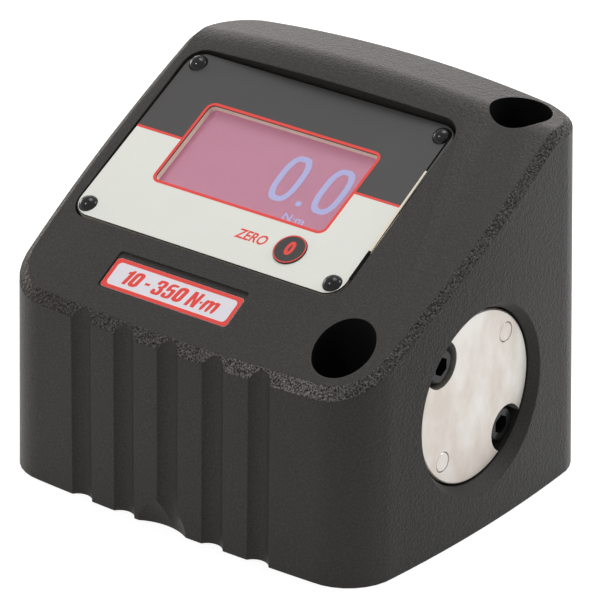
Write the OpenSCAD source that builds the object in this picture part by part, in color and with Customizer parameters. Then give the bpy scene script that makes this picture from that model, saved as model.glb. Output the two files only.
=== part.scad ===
/* [Casting] */
// Width at the foot, from flank to flank, without the bulge of the flanks
body_w = 130; // [126:1:140]
// Depth at the foot, from front to rear, without the bulge of the walls
body_d = 109; // [108:1:118]
// How far each flank bulges out at its middle
flank_bow = 1.8; // [0.2:0.1:3]
// How far the front and rear walls bulge out at their middle
front_bow = 1.3; // [0.2:0.1:3]
// How much wider each side is at the rear than at the middle
plan_flare = 0.6; // [0:0.1:1.5]
// Radius of the upright corners
corner_r = 15.5; // [12:0.5:18]
// Draft angle of the walls
draft_a = 0.9; // [0:0.1:1.5]
// Height of the sloping top over the middle of the foot
slope_z = 88.7; // [88:0.1:92]
// Tilt of the sloping top
slope_a = 30.6; // [30:0.2:31.6]
// Distance of the crest behind the middle
crest_y = 35; // [34:0.5:39]
// Length over which the slope rounds into the top strip
crest_len = 6; // [2:0.5:8]
// Fall of the top strip towards the rear
strip_a = 2.9; // [0:0.1:5]
// Crown of the sloping top at the front edge
crown_front = 0.6; // [0.2:0.1:2]
// Crown of the sloping top at the crest
crown_rear = 3.9; // [2:0.1:4.5]
// Width of the chamfer round the top, seen from above
chamfer_w = 2.5; // [2.2:0.1:4]
// Height of the chamfer round the top
chamfer_h = 1.9; // [1:0.1:4]

/* [Grip flutes and lifting dish] */
// Number of flutes in the front wall
flute_n = 5; // [1:1:5]
// Distance between flutes
flute_pitch = 15.7; // [12:0.1:16]
// Place of the middle flute across the front wall
flute_x = -0.8; // [-3:0.1:3]
// Radius of the flutes
flute_r = 4.3; // [3:0.1:6]
// Depth of the flutes
flute_depth = 2.1; // [1:0.1:2.4]
// Radius of the lifting dish in the foot of the front wall
dish_r = 8.5; // [6:0.1:10]
// Depth of the lifting dish
dish_depth = 2.3; // [1:0.1:3]
// Place of the lifting dish across the front wall
dish_x = -2.8; // [-5:0.1:5]

/* [Mounting bolt wells] */
// Distance of the two bolt holes from the middle plane
bolt_x = 48; // [47:0.5:49]
// Distance between the two bolt holes
bolt_spacing = 80; // [78:1:82]
// Radius of the bolt holes
bolt_hole_r = 5.5; // [4.5:0.25:6]
// Radius of the wells for the bolt heads
bolt_well_r = 8.75; // [8:0.25:9]
// Thickness of the foot under the bolt heads
bolt_grip = 16; // [12:1:22]

/* [Transducer] */
// Height of the transducer axis over the foot
axis_z = 39.25; // [38:0.25:41]
// Place of the transducer axis between front and rear
axis_y = -0.5; // [-1.5:0.1:1]
// Radius of the end flange
flange_r = 25; // [24:0.25:25.5]
// Thickness of the end flange
flange_t = 12; // [11:0.5:14]
// How far the flange face lies inside the flank
flange_sink = 3.3; // [2.5:0.1:4.5]
// Gap round the flange
flange_gap = 0.6; // [0.3:0.1:0.8]
// Radius of the flared rim of the flange recess
flange_rim_r = 27.75; // [27:0.25:29]
// Distance of the flange screws and dowels from the rim of the flange
flange_edge = 4.75; // [4.5:0.25:5.5]
// Radius of the notches for the screw heads
notch_r = 6.9; // [6:0.1:7.2]
// How far the notches are cut beyond the pitch circle
notch_shift = 1.6; // [0:0.1:2.4]
// Depth of the notches
notch_depth = 7; // [6.5:0.5:8]
// Radius of the flange dowels
dowel_r = 3; // [2:0.5:3.5]
// Length of the flange dowels
dowel_len = 20; // [16:1:22]
// Distance of the shaft behind the flange from the screws' pitch circle
neck_inset = 5.25; // [5:0.25:7]
// Radius of the measuring section
gauge_r = 11; // [10.5:0.25:12]
// Length of the measuring section
gauge_len = 26; // [25:0.5:30]
// Width across the flats of the measuring section
gauge_flats = 19; // [17:0.5:20]
// Radius of the drive end
drive_r = 17; // [15:0.5:17.5]
// Length of the drive end
drive_len = 30; // [28:1:31]
// How far the drive end lies inside the flank
drive_sink = 2; // [1.5:0.1:2.2]
// Width across the square drive socket
square_w = 12.75; // [12.7:0.01:12.8]
// Depth of the square drive socket
square_depth = 20; // [16:1:23]
// Wall of the bush round the drive end
bush_wall = 4; // [3:0.25:5]
// Length of the bush round the drive end
bush_len = 9; // [7:0.5:9]

/* [Front panel] */
// Width of the panel
panel_w = 94; // [93:0.5:94.5]
// Length of the panel up the slope
panel_l = 64; // [63:0.5:64.5]
// Corner radius of the panel
panel_r = 5.5; // [3:0.5:6]
// Tilt of the panel
panel_a = 28.3; // [28:0.1:29]
// Place of the panel's middle across the casting
panel_x = -11.1; // [-11.4:0.1:-10.4]
// Place of the panel's middle between front and rear
panel_y = 0.3; // [0:0.1:0.6]
// Height of the panel's face at its middle
panel_z = 86.7; // [86.4:0.1:87]
// Thickness of the panel board
board_t = 1.6; // [1.2:0.1:2]
// Thickness of the printed overlay
overlay_t = 0.4; // [0.2:0.05:0.5]
// Thickness of the gasket under the panel
gasket_t = 0.8; // [0.5:0.1:1]
// Gap round the panel
panel_gap = 0.8; // [0.5:0.1:1]
// Further gap along the right edge of the panel
right_gap = 0.7; // [0.7:0.1:1]
// Distance of the window from the left and right edges
window_margin_u = 17.2; // [17:0.1:19]
// Mean distance of the window from the upper and lower edges
window_margin_v = 17.3; // [17.2:0.1:18]
// Place of the window up the panel
window_v = 1.2; // [1:0.1:2]
// Corner radius of the window
window_r = 1.8; // [1:0.1:3]
// Distance of the panel screws from the left and right edges
screw_inset_u = 3.8; // [3.4:0.1:4.8]
// Distance of the panel screws from the upper and lower edges
screw_inset_v = 3.9; // [3.4:0.1:4]
// Radius of the panel screw heads
screw_head_r = 2.9; // [2.5:0.1:3.1]
// Height of the domed panel screw heads
screw_head_h = 2; // [1.5:0.1:2.4]
// Distance of the zero key from the right edge
key_inset_u = 22.3; // [22:0.1:23]
// Distance of the zero key from the lower edge
key_inset_v = 9.8; // [9.6:0.1:10]
// Radius of the zero key
key_r = 4.9; // [4.5:0.1:5]
// How far the zero key stands proud of the panel
key_proud = 0.5; // [0.45:0.05:0.8]

/* [Range label] */
// Width of the label
label_w = 44.6; // [42:0.2:46]
// Length of the label up the slope
label_l = 10.2; // [9:0.1:10.4]
// Thickness of the label
label_t = 0.3; // [0.2:0.05:0.4]
// Place of the label across the casting
label_x = -11.1; // [-13:0.1:-10]
// Distance of the label's middle down the slope from the middle of the foot
label_v = -47.2; // [-47.6:0.1:-46.8]
// Depth of the pocket round the label
pocket_depth = 0.8; // [0.5:0.1:1]
// Gap between the label and the lower and side edges of its pocket
pocket_gap = 0.5; // [0.3:0.1:1]
// Gap between the label and the upper edge of its pocket
pocket_gap_top = 2; // [0.5:0.1:2.4]

/* [Electronics bay] */
// Left wall of the bay
bay_left = -48; // [-48.5:0.5:-48]
// Right wall of the bay
bay_right = 28; // [27:0.5:29]
// Thickness of the casting in front of the bay
bay_front_wall = 18.5; // [17.5:0.5:19.5]
// Thickness of the casting behind the bay
bay_rear_wall = 11.5; // [11:0.5:12.5]
// Thickness of the casting under the panel
shelf_t = 3; // [2.5:0.25:4]
// Thickness of the base cover
cover_t = 3; // [3:0.25:4]
// Width of the ledge that carries the base cover
cover_ledge = 8; // [7.5:0.25:8]
// Height of the spacers under the main board
spacer_h = 6; // [4:0.5:6.5]
// Thickness of the circuit boards
pcb_t = 1.6; // [1:0.1:1.8]

/* [Hidden] */

$fn = 64;
// Extra length of every cut past the surface that it opens
over = 5;
// Clearance between pieces that are assembled and stay put
fit_gap = 0.05;
// Radial clearance of a running fit
run_gap = 0.05;
// Gap between faces that must not touch
air_gap = 0.3;

// Casting
half_w = body_w / 2;
half_d = body_d / 2;
bay_front = bay_front_wall - half_d;
bay_rear = half_d - bay_rear_wall;
lean = tan(draft_a);
crest_z = slope_z + tan(slope_a) * crest_y;
wall_top = crest_z + over;
foot_t = 1;
side_steps = 6;
corner_steps = 8;
crown_steps = 14;
crest_steps = 6;

// Transducer, along X
flank_x = half_w + flank_bow - lean * axis_z;
flange_x = flank_x - flange_sink;
flange_pitch_r = flange_r - flange_edge;
neck_r = flange_pitch_r - neck_inset;
seat_x = flange_x - flange_t;
drive_x = drive_sink - flank_x;
gauge_x = drive_x + drive_len;
neck_x = gauge_x + gauge_len;
screw_angle = 135;
dowel_angle = 45;
m6_r = 3;
m6_head_r = 5;
m6_head_h = 6;
m6_len = 18;
m6_hex = 5;
m6_hex_depth = 3.2;
head_break = 0.5;
edge_break = 0.4;
square_break = 1;
square_floor = 2;
detent_r = 2;
detent_x = 8;
detent_depth = 2;
shoulder_len = 3;
flat_margin = 1;

// Bush, ring and seal of the drive end
bush_r = drive_r + run_gap + bush_wall;
bush_shoulder = 3;
bush_x = bay_left - bush_shoulder - bush_len;
ring_t = 1.5;
ring_depth = 1.2;
ring_w = 3.2;
ring_gap = 9;
ring_lug_r = 1.9;
ring_lug_hole_r = 0.9;
ring_x = bush_x - ring_t;
seal_t = 2.4;
seal_lip = 0.8;
seal_x = ring_x - seal_t;
drive_flare = 1.5;

// Strain gauges and their wiring
film_t = 0.25;
gauge_w = 7;
gauge_l = 10;
gauge_start = 3;
terminal_start = 16;
terminal_l = 7;
terminal_w = 8;
terminal_t = 1;
cable_r = 1.3;
cable_x = gauge_x + terminal_start + terminal_l / 2;

// Front panel stack, measured inward from the panel's face
board_n = overlay_t;
screw_u = panel_w / 2 - screw_inset_u;
screw_v = panel_l / 2 - screw_inset_v;
key_u = panel_w / 2 - key_inset_u;
key_v = key_inset_v - panel_l / 2;
window_w = panel_w - 2 * window_margin_u;
window_l = panel_l - 2 * window_margin_v;
board_back_n = board_n + board_t;
shelf_n = board_back_n + gasket_t;
bay_top_n = shelf_n + shelf_t;
lens_t = 1;
lens_lap = 2.2;
glass_t = 2.8;
light_t = 3;
lens_back_n = board_back_n + lens_t;
glass_back_n = lens_back_n + glass_t;
light_back_n = glass_back_n + light_t;
pcb_back_n = light_back_n + pcb_t;
key_skirt = 0.7;
glass_margin_u = 3.4;
glass_margin_v = 2.3;
opening_margin = 3.3;
spacer_room = 7.8;
key_room = 1.2;
opening_w = window_w + 2 * (glass_margin_u + opening_margin);
opening_high = window_v + window_l / 2 + glass_margin_v + spacer_room;
opening_low = key_v - key_r - key_skirt - key_room;
opening_l = opening_high - opening_low;
opening_v = (opening_high + opening_low) / 2;
pcb_clear = 1;
display_spacer_r = 2.5;
display_spacer_inset = 3;
m25_r = 1.25;
m25_head_r = 2.25;
m25_head_h = 1.5;
m25_len = 6;
m25_hex = 1.6;
m3_r = 1.5;
m3_len = 10;
tab_side = 0.7;
tab_low = -15;
tab_high = 14.9;
gasket_inset = 0.5;
key_hole_gap = 0.1;
key_skirt_t = 0.8;
key_stem_r = 2.4;
switch_w = 6.2;
switch_h = 3.4;
plunger_r = 1.75;
plunger_proud = 1.6;
plunger_depth = 1.4;
switch_floor = 0.6;
switch_n = light_back_n - switch_h;
plunger_n = switch_n - plunger_proud;

// Base cover and main board
cover_z = 0.5;
cover_top = cover_z + cover_t;
cover_r = 8;
cover_gap = 0.3;
bay_r = 5;
bay_w = bay_right - bay_left;
bay_l = bay_rear - bay_front;
bay_x = (bay_left + bay_right) / 2;
bay_y = (bay_front + bay_rear) / 2;
m4_r = 2;
m4_head_r = 4;
m4_head_h = 2.3;
m4_len = 12;
m4_hex = 2.5;
m4_hex_depth = 1.4;
base_hole_inset = 4.3;
pcb_margin = 5;
pcb_bottom = cover_top + spacer_h;
pcb_top = pcb_bottom + pcb_t;
board_hole_inset = 4;
board_spacer_r = 3;
board_screw_bite = 2;
m3_head_r = 2.75;
m3_head_h = 1.7;
m3_hex = 2;
m3_hex_depth = 1;
connector_h = 5;
gauge_connector_w = 7;
gauge_connector_l = 9;
power_connector_w = 8;
power_connector_l = 6;
ribbon_t = 0.8;
ribbon_w = 18;
ribbon_x = -24;
ribbon_end_v = -24.5;
ribbon_bend_v = -31;
ribbon_n = -13;
connector_wall = 1;
connector_l = 5;
chip_w = 14;
chip_t = 1.6;
amp_w = 8;
amp_l = 6;
cap_r = 4;
cap_h = 8;
cap_gap = 1;
crystal_w = 10;
crystal_l = 4;
crystal_h = 3.5;

// Power socket in the rear wall
socket_x = -30;
socket_z = 26;
socket_r = 5.5;
socket_flange_r = 7;
socket_flange_t = 1.5;
socket_mouth_r = 3.2;
socket_mouth_depth = 9;
socket_pin_r = 1;
socket_pin_sink = 1;
socket_len = 18;
socket_wall = 4;
socket_pocket_w = 22;
nut_flats = 14;
nut_t = 2.5;
lug_w = 6;
lug_t = 3;
lug_drop = 7;
wire_r = 0.7;
wire_spread = 1.5;

// Corner points of the outline between the front wall and the flank
function plan_corner(hx, hy, r) = [
    for (i = [1 : corner_steps - 1])
        let (a = 90 * i / corner_steps - 90) [hx - r + r * cos(a), r - hy + r * sin(a)]
];
function plan_front(hx, hy, r) = [
    for (i = [-side_steps : side_steps])
        [i / side_steps * (hx - r), -hy - front_bow * (1 - pow(i / side_steps, 2))]
];
function plan_flank(hx, hy, r) = [
    for (i = [-side_steps : side_steps])
        [hx + flank_bow * (1 - pow(i / side_steps, 2)), i / side_steps * (hy - r)]
];
function reversed(points) = [for (i = [len(points) - 1 : -1 : 0]) points[i]];
function behind(points) = [for (p = points) [p[0], -p[1]]];
function turned(points) = [for (p = points) [-p[0], -p[1]]];
function flared(points, hy) = [
    for (p = points)
        [p[0] + sign(p[0]) * min(abs(p[0]) / corner_r, 1) * plan_flare * p[1] / hy, p[1]]
];
// Outline of the casting at height z, drawn in by inset
function plan(inset, z) =
    let (
        hx = half_w - inset - lean * z,
        hy = half_d - inset - lean * z,
        r = corner_r - inset,
        corner = plan_corner(hx, hy, r),
        half = concat(plan_front(hx, hy, r), corner, plan_flank(hx, hy, r),
                      reversed(behind(corner)))
    )
    flared(concat(half, turned(half)), hy);

// Height of the crowned top over a point of the foot
function crown(y) =
    min(crown_front + (crown_rear - crown_front) * (y + half_d) / (crest_y + half_d), crown_rear);
function ridge_z(y) =
    let (u = y - crest_y, e = crest_len / 2, m = tan(slope_a), s = tan(strip_a))
    u < -e ? crest_z + m * u
    : u > e ? crest_z - s * u
    : crest_z + m * u - (m + s) * pow(u + e, 2) / (4 * e);
function top_z(x, y) = ridge_z(y) - crown(y) * pow(x / half_w, 2);
// Place of the front wall's face at a height
function front_face(x, z) =
    lean * z - half_d - front_bow * (1 - pow(x / (half_w - corner_r), 2));
// A point of the panel frame: v up the panel, n out of its face
function panel_point_y(v, n) = panel_y + v * cos(panel_a) - n * sin(panel_a);
function panel_point_z(v, n) = panel_z + v * sin(panel_a) + n * cos(panel_a);

// Height at y of the plane that lies n out of the panel's face
function panel_height_at(y, n) =
    panel_point_z((y - panel_y + n * sin(panel_a)) / cos(panel_a), n);

// Solid between two outlines with as many points
module loft(low, low_z, high, high_z) {
    n = len(low);
    points = concat([for (p = low) [p[0], p[1], low_z]], [for (p = high) [p[0], p[1], high_z]]);
    faces = concat(
        [[for (i = [0 : n - 1]) i]],
        [[for (i = [n - 1 : -1 : 0]) n + i]],
        [for (i = [0 : n - 1]) [i, n + i, (i + 1) % n]],
        [for (i = [0 : n - 1]) [(i + 1) % n, n + i, n + (i + 1) % n]]
    );
    polyhedron(points, faces);
}

module drafted_walls(inset) {
    loft(plan(inset, 0), 0, plan(inset, wall_top), wall_top);
}

// Everything under the crowned top, lowered by drop
module under_top(drop) {
    reach_x = half_w + flank_bow + over;
    reach_y = half_d + front_bow + over;
    rows = concat(
        [-reach_y],
        [for (i = [0 : crest_steps]) crest_y + crest_len * (i / crest_steps - 1 / 2)],
        [reach_y]
    );
    cols = [for (i = [-crown_steps : crown_steps]) reach_x * i / crown_steps];
    nr = len(rows);
    nc = len(cols);
    grid = nr * nc;
    points = concat(
        [for (x = cols) for (y = rows) [x, y, top_z(x, y) - drop]],
        [for (x = cols) for (y = rows) [x, y, 0]]
    );
    faces = concat(
        [for (i = [0 : nc - 2]) for (j = [0 : nr - 2])
            [i * nr + j, i * nr + j + 1, (i + 1) * nr + j]],
        [for (i = [0 : nc - 2]) for (j = [0 : nr - 2])
            [(i + 1) * nr + j, i * nr + j + 1, (i + 1) * nr + j + 1]],
        [for (i = [0 : nc - 2]) for (j = [0 : nr - 2])
            [grid + i * nr + j, grid + (i + 1) * nr + j, grid + (i + 1) * nr + j + 1,
             grid + i * nr + j + 1]],
        [for (i = [0 : nc - 2]) [i * nr, (i + 1) * nr, grid + (i + 1) * nr, grid + i * nr]],
        [for (i = [0 : nc - 2])
            [(i + 1) * nr + nr - 1, i * nr + nr - 1, grid + i * nr + nr - 1,
             grid + (i + 1) * nr + nr - 1]],
        [for (j = [0 : nr - 2]) [j + 1, j, grid + j, grid + j + 1]],
        [for (j = [0 : nr - 2])
            [grid - nr + j, grid - nr + j + 1, 2 * grid - nr + j + 1, 2 * grid - nr + j]]
    );
    polyhedron(points, faces);
}

// The outside of the casting: drafted walls, crowned top and the chamfer between them
module casting_form() {
    hull() {
        linear_extrude(foot_t) polygon(plan(0, 0));
        intersection() {
            drafted_walls(0);
            under_top(chamfer_h);
        }
        intersection() {
            drafted_walls(chamfer_w);
            under_top(0);
        }
    }
}

// Rounded rectangle with true arcs
module plate_2d(w, l, r) {
    square([w - 2 * r, l], center = true);
    square([w, l - 2 * r], center = true);
    for (x = [-1, 1])
        for (y = [-1, 1])
            translate([x * (w / 2 - r), y * (l / 2 - r)]) circle(r);
}

module hexagon(flats) {
    circle(r = flats / sqrt(3), $fn = 6);
}

// Outline carried from one depth under the panel's face to another
module panel_slab(n_top, n_bottom) {
    translate([0, 0, -n_bottom]) linear_extrude(n_bottom - n_top) children();
}

module panel_frame() {
    translate([panel_x, panel_y, panel_z]) rotate([panel_a, 0, 0]) children();
}

module slope_frame() {
    translate([0, 0, slope_z]) rotate([slope_a, 0, 0]) children();
}

// Turns a piece drawn along Z onto the transducer axis, starting at x
module along_axis(x) {
    translate([x, axis_y, axis_z]) rotate([0, 90, 0]) children();
}

// Two opposite places on the flange's pitch circle, for pieces drawn along Z
module on_pitch(x, angle) {
    for (a = [angle, angle + 180])
        translate([x, axis_y + flange_pitch_r * cos(a), axis_z + flange_pitch_r * sin(a)])
            rotate([0, 90, 0]) children();
}

module at_panel_screws() {
    for (u = [-1, 1])
        for (v = [-1, 1])
            translate([u * screw_u, v * screw_v]) children();
}

module at_display_screws() {
    for (u = [-1, 1])
        for (v = [-1, 1])
            translate([u * ((opening_w - pcb_clear) / 2 - display_spacer_inset),
                       opening_v + v * ((opening_l - pcb_clear) / 2 - display_spacer_inset)])
                children();
}

module at_base_screws() {
    for (x = [bay_left - base_hole_inset, bay_right + base_hole_inset])
        for (y = [bay_front + bay_r, bay_y, bay_rear - bay_r])
            translate([x, y]) children();
}

module at_board_screws() {
    for (x = [-1, 1])
        for (y = [-1, 1])
            translate([bay_x + x * (bay_w / 2 - pcb_margin - board_hole_inset),
                       bay_y + y * (bay_l / 2 - pcb_margin - board_hole_inset)])
                children();
}

module flute(i) {
    x = flute_x + flute_pitch * (i - (flute_n - 1) / 2);
    translate([x, front_face(x, 0) + flute_depth - flute_r, 0])
        rotate([-draft_a, 0, 0])
            translate([0, 0, -over]) cylinder(h = wall_top, r = flute_r);
}

module lifting_dish() {
    ball_r = (pow(dish_r, 2) + pow(dish_depth, 2)) / (2 * dish_depth);
    translate([dish_x, front_face(dish_x, 0) + dish_depth - ball_r, 0]) sphere(ball_r);
}

module bolt_wells() {
    for (s = [-1, 1])
        translate([bolt_x, s * bolt_spacing / 2, 0]) {
            translate([0, 0, -over]) cylinder(h = bolt_grip + 2 * over, r = bolt_hole_r);
            translate([0, 0, bolt_grip]) cylinder(h = wall_top, r = bolt_well_r);
        }
}

module flange_recess() {
    bore = flange_r + flange_gap;
    along_axis(seat_x) cylinder(h = flange_t + flange_sink + over, r = bore);
    along_axis(flange_x)
        cylinder(h = 2 * flange_sink, r1 = bore, r2 = bore + 2 * (flange_rim_r - bore));
    along_axis(bay_right - over)
        cylinder(h = seat_x - bay_right + 2 * over, r = neck_r + air_gap);
    on_pitch(flange_x - notch_depth - m6_len, screw_angle) cylinder(h = m6_len, r = m6_r);
    on_pitch(flange_x - dowel_len, dowel_angle) cylinder(h = dowel_len, r = dowel_r);
}

module drive_recess() {
    along_axis(-flank_x - over)
        cylinder(h = flank_x + over + bay_left + over, r = drive_r + air_gap);
    along_axis(-flank_x - over)
        cylinder(h = flank_x + over + bay_left - bush_shoulder, r = bush_r);
    along_axis(ring_x) cylinder(h = ring_t, r = bush_r + ring_depth);
    along_axis(-flank_x - over)
        cylinder(h = over + drive_sink, r1 = bush_r + drive_flare + over,
                 r2 = bush_r + drive_flare - drive_sink);
}

module bay() {
    intersection() {
        translate([bay_x, bay_y, -over]) linear_extrude(wall_top) plate_2d(bay_w, bay_l, bay_r);
        panel_frame()
            panel_slab(bay_top_n, bay_top_n + 2 * wall_top)
                square([2 * body_w, 2 * body_d], center = true);
    }
    panel_frame()
        panel_slab(shelf_n - over, pcb_back_n + over)
            translate([0, opening_v]) plate_2d(opening_w, opening_l, bay_r);
    translate([bay_x, bay_y, -over])
        linear_extrude(over + cover_top)
            plate_2d(bay_w + 2 * cover_ledge, bay_l + 2 * cover_ledge, cover_r);
    translate([0, 0, cover_z])
        at_base_screws() cylinder(h = m4_len, r = m4_r);
}

module socket_hole() {
    face = -front_face(socket_x, socket_z);
    pocket_end = face - socket_wall;
    translate([socket_x, face + over, socket_z])
        rotate([90, 0, 0]) cylinder(h = face + 2 * over - bay_rear, r = socket_r);
    translate([socket_x, face + over, socket_z])
        rotate([90, 0, 0]) cylinder(h = over + socket_flange_t, r = socket_flange_r + air_gap);
    translate([socket_x - socket_pocket_w / 2, bay_rear - over, socket_z - socket_pocket_w / 2])
        cube([socket_pocket_w, pocket_end - bay_rear + over, socket_pocket_w]);
}

module panel_recess() {
    panel_frame() {
        panel_slab(-wall_top, shelf_n)
            translate([right_gap / 2, 0])
                plate_2d(panel_w + 2 * panel_gap + right_gap, panel_l + 2 * panel_gap,
                         panel_r + panel_gap);
        panel_slab(-wall_top, board_n + m3_len) at_panel_screws() circle(m3_r);
    }
}

module label_pocket() {
    slope_frame()
        translate([label_x, label_v + (pocket_gap_top - pocket_gap) / 2, -pocket_depth])
            linear_extrude(pocket_depth + over)
                plate_2d(label_w + 2 * pocket_gap, label_l + pocket_gap + pocket_gap_top,
                         2 * pocket_gap);
}

module housing() {
    color("#3f3e3c")
        difference() {
            casting_form();
            for (i = [0 : flute_n - 1]) flute(i);
            lifting_dish();
            bolt_wells();
            flange_recess();
            drive_recess();
            bay();
            socket_hole();
            panel_recess();
            label_pocket();
        }
}

module base_cover() {
    color("#6c6f72")
        difference() {
            translate([bay_x, bay_y, cover_z])
                linear_extrude(cover_t)
                    plate_2d(bay_w + 2 * (cover_ledge - cover_gap),
                             bay_l + 2 * (cover_ledge - cover_gap), cover_r - cover_gap);
            translate([0, 0, cover_z])
                at_base_screws() {
                    cylinder(h = cover_t + over, r = m4_r + air_gap);
                    cylinder(h = m4_head_h, r1 = m4_head_r + fit_gap, r2 = m4_r + fit_gap);
                }
            translate([0, 0, cover_top - board_screw_bite])
                at_board_screws() cylinder(h = over, r = m3_r);
        }
}

module base_screws() {
    color("#3a3a3c")
        translate([0, 0, cover_z])
            at_base_screws()
                difference() {
                    union() {
                        cylinder(h = m4_head_h, r1 = m4_head_r, r2 = m4_r - fit_gap);
                        cylinder(h = m4_len - fit_gap, r = m4_r - fit_gap);
                    }
                    translate([0, 0, -over]) linear_extrude(over + m4_hex_depth) hexagon(m4_hex);
                }
}

module panel_outline() {
    difference() {
        plate_2d(panel_w, panel_l, panel_r);
        translate([0, window_v]) plate_2d(window_w, window_l, window_r);
        translate([key_u, key_v]) circle(key_r + key_hole_gap);
        at_panel_screws() circle(m3_r + key_hole_gap);
    }
}

module front_panel() {
    color("#c9bb9b")
        panel_frame()
            panel_slab(board_n, board_back_n) {
                panel_outline();
                translate([panel_w / 2 - tab_side, tab_low])
                    square([2 * tab_side, tab_high - tab_low]);
            }
}

module panel_overlay() {
    color("#e4e4de") panel_frame() panel_slab(0, overlay_t) panel_outline();
}

module panel_gasket() {
    color("#1c1c1c")
        panel_frame()
            panel_slab(board_back_n, shelf_n)
                difference() {
                    plate_2d(panel_w - 2 * gasket_inset, panel_l - 2 * gasket_inset,
                             panel_r - gasket_inset);
                    translate([0, opening_v]) plate_2d(opening_w, opening_l, bay_r);
                    at_panel_screws() circle(m3_r + key_hole_gap);
                }
}

module panel_screws() {
    dome_r = (pow(screw_head_r, 2) + pow(screw_head_h, 2)) / (2 * screw_head_h);
    color("#303030")
        panel_frame() {
            at_panel_screws()
                intersection() {
                    cylinder(h = screw_head_h, r = screw_head_r);
                    translate([0, 0, screw_head_h - dome_r]) sphere(dome_r);
                }
            panel_slab(0, board_n + m3_len - fit_gap) at_panel_screws() circle(m3_r - fit_gap);
        }
}

module display_window() {
    color("#b9c4cc")
        panel_frame()
            panel_slab(board_back_n, lens_back_n)
                translate([0, window_v])
                    plate_2d(window_w + 2 * lens_lap, window_l + 2 * lens_lap, window_r);
}

module glass_outline() {
    translate([0, window_v])
        square([window_w + 2 * glass_margin_u, window_l + 2 * glass_margin_v], center = true);
}

module lcd_glass() {
    color("#c98fa8") panel_frame() panel_slab(lens_back_n, glass_back_n) glass_outline();
}

module lcd_backlight() {
    color("#dfe3e6") panel_frame() panel_slab(glass_back_n, light_back_n) glass_outline();
}

module ribbon_connector_outline() {
    translate([ribbon_x - panel_x - ribbon_w / 2 - connector_wall, ribbon_end_v])
        square([ribbon_w + 2 * connector_wall, connector_l]);
}

module display_board() {
    color("#2f6b45")
        panel_frame() {
            panel_slab(light_back_n, pcb_back_n)
                difference() {
                    translate([0, opening_v])
                        plate_2d(opening_w - pcb_clear, opening_l - pcb_clear,
                                 bay_r - pcb_clear / 2);
                    at_display_screws() circle(m25_r + fit_gap);
                }
            panel_slab(pcb_back_n, pcb_back_n + connector_h) ribbon_connector_outline();
        }
}

module display_spacers() {
    color("#b8b8b4")
        panel_frame()
            panel_slab(board_back_n, light_back_n)
                at_display_screws()
                    difference() {
                        circle(display_spacer_r);
                        circle(m25_r);
                    }
}

module display_screws() {
    color("#8d8f92")
        panel_frame()
            difference() {
                union() {
                    panel_slab(pcb_back_n - m25_len, pcb_back_n)
                        at_display_screws() circle(m25_r - fit_gap);
                    panel_slab(pcb_back_n, pcb_back_n + m25_head_h)
                        at_display_screws() circle(m25_head_r);
                }
                panel_slab(pcb_back_n + m25_head_h / 2, pcb_back_n + over)
                    at_display_screws() hexagon(m25_hex);
            }
}

module zero_key() {
    color("#e9e9e4")
        panel_frame()
            translate([key_u, key_v]) {
                panel_slab(-key_proud, board_back_n) circle(key_r);
                panel_slab(board_back_n, board_back_n + key_skirt_t) circle(key_r + key_skirt);
                panel_slab(board_back_n, plunger_n) circle(key_stem_r);
            }
}

module switch_plunger() {
    color("#202020")
        panel_frame()
            translate([key_u, key_v])
                panel_slab(plunger_n, switch_n + plunger_depth) circle(plunger_r);
}

module zero_switch() {
    color("#4a4a4a")
        panel_frame()
            translate([key_u, key_v])
                difference() {
                    panel_slab(switch_n, light_back_n) square(switch_w, center = true);
                    panel_slab(switch_n - over, light_back_n - switch_floor)
                        circle(plunger_r + run_gap);
                }
}

module range_label() {
    color("#e9e6e6")
        slope_frame()
            translate([label_x, label_v, -pocket_depth])
                linear_extrude(label_t) plate_2d(label_w, label_l, pocket_gap);
}

// Piece turned about the transducer axis from an outline of radius and x
module turned_piece(outline) {
    along_axis(0) rotate_extrude() polygon(outline);
}

module transducer() {
    color("#cfcac4")
        difference() {
            turned_piece([
                [0, drive_x],
                [drive_r - edge_break, drive_x],
                [drive_r, drive_x + edge_break],
                [drive_r, gauge_x - shoulder_len],
                [gauge_r, gauge_x],
                [gauge_r, neck_x],
                [neck_r, neck_x + shoulder_len],
                [neck_r, seat_x],
                [flange_r, seat_x],
                [flange_r, flange_x - edge_break],
                [flange_r - edge_break, flange_x],
                [0, flange_x]
            ]);
            translate([drive_x, axis_y, axis_z]) {
                translate([-over, -square_w / 2, -square_w / 2])
                    cube([over + square_depth, square_w, square_w]);
                rotate([0, 90, 0])
                    translate([0, 0, -square_break])
                        cylinder(h = 2 * square_break, r1 = square_w / sqrt(2) + square_break,
                                 r2 = square_w / sqrt(2) - square_break);
                rotate([0, 90, 0]) cylinder(h = square_depth + square_floor, r = square_w / 2);
                translate([detent_x, 0, 0]) cylinder(h = square_w / 2 + detent_depth, r = detent_r);
            }
            for (a = [0 : 90 : 270])
                translate([gauge_x + flat_margin, axis_y, axis_z])
                    rotate([a, 0, 0])
                        translate([0, -gauge_r, gauge_flats / 2])
                            cube([gauge_len - 2 * flat_margin, 2 * gauge_r, gauge_r]);
            for (a = [screw_angle, screw_angle + 180])
                translate([flange_x - notch_depth,
                           axis_y + (flange_pitch_r + notch_shift) * cos(a),
                           axis_z + (flange_pitch_r + notch_shift) * sin(a)])
                    rotate([0, 90, 0]) cylinder(h = notch_depth + over, r = notch_r);
            on_pitch(seat_x - over, screw_angle) cylinder(h = flange_t + over, r = m6_r + air_gap);
            on_pitch(seat_x - over, dowel_angle) cylinder(h = flange_t + 2 * over, r = dowel_r);
        }
}

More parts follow.
